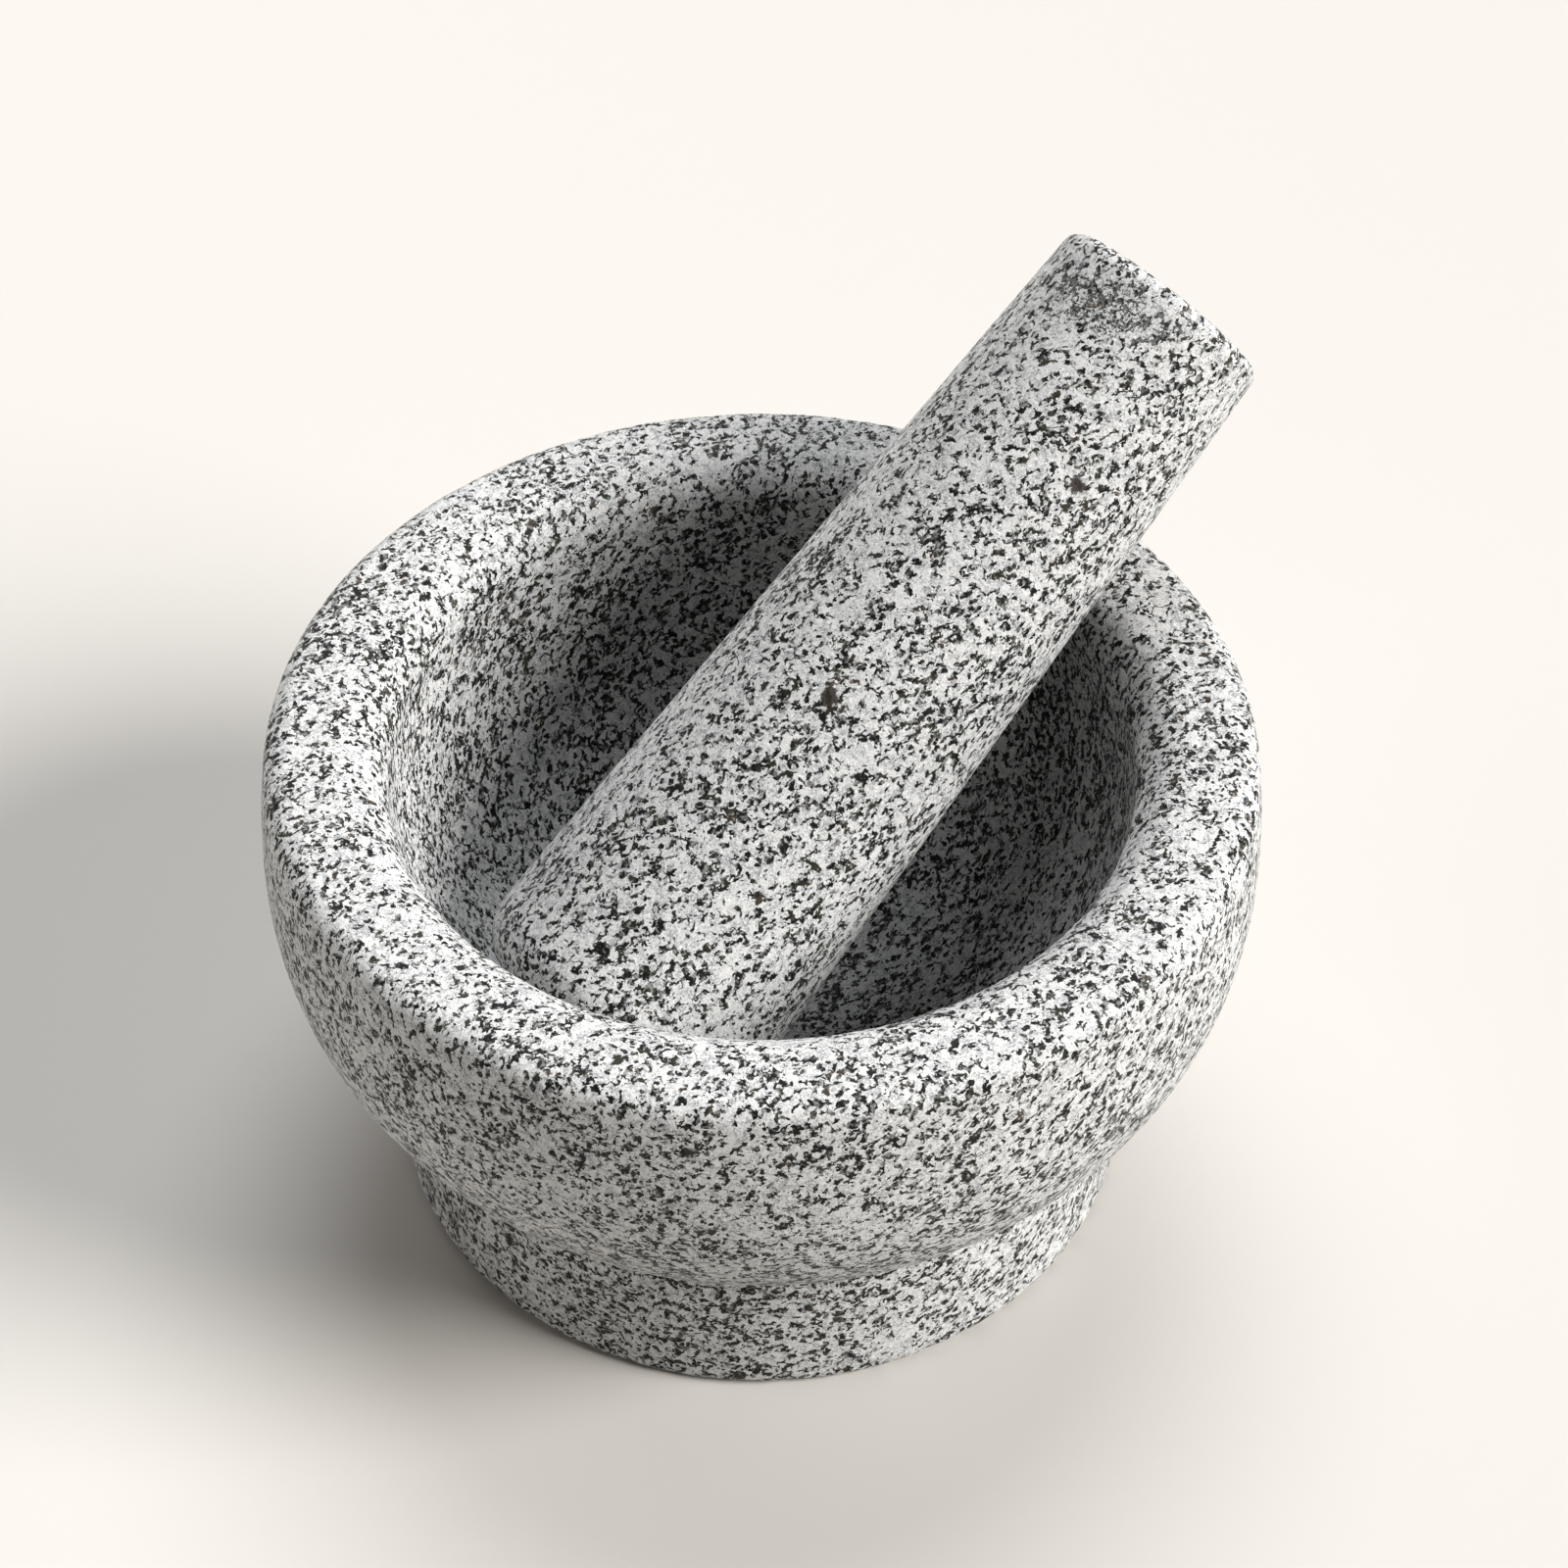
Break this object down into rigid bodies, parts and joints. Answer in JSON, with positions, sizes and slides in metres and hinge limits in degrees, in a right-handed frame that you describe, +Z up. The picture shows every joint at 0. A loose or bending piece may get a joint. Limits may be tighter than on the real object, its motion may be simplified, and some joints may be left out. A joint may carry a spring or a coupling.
{
  "type": "mortar and pestle",
  "caption": "Stone mortar with a thick rounded rim, a hemispherical hollow and a short round foot, with a tapered stone pestle resting in it for grinding and pounding.",
  "frame": {"origin": "centre of the foot's flat underside, on the surface that the mortar stands on", "axes": "+Z up along the mortar's axis. +X right and +Y away from the viewer, and the pestle leans towards +X and +Y"},
  "size_m": [0.15, 0.15, 0.1357],
  "materials": {
    "mortar_stone": "matte",
    "pestle_stone": "matte"
  },
  "bodies": {
    "mortar": {"mortar": "mortar_stone"},
    "pestle": {"pestle": "pestle_stone"}
  },
  "joints": [
    {"name": "pestle_lift", "type": "slide", "parent": "mortar", "child": "pestle", "axis": [0, 0, 1], "range_m": [0, 0.09]}
  ]
}
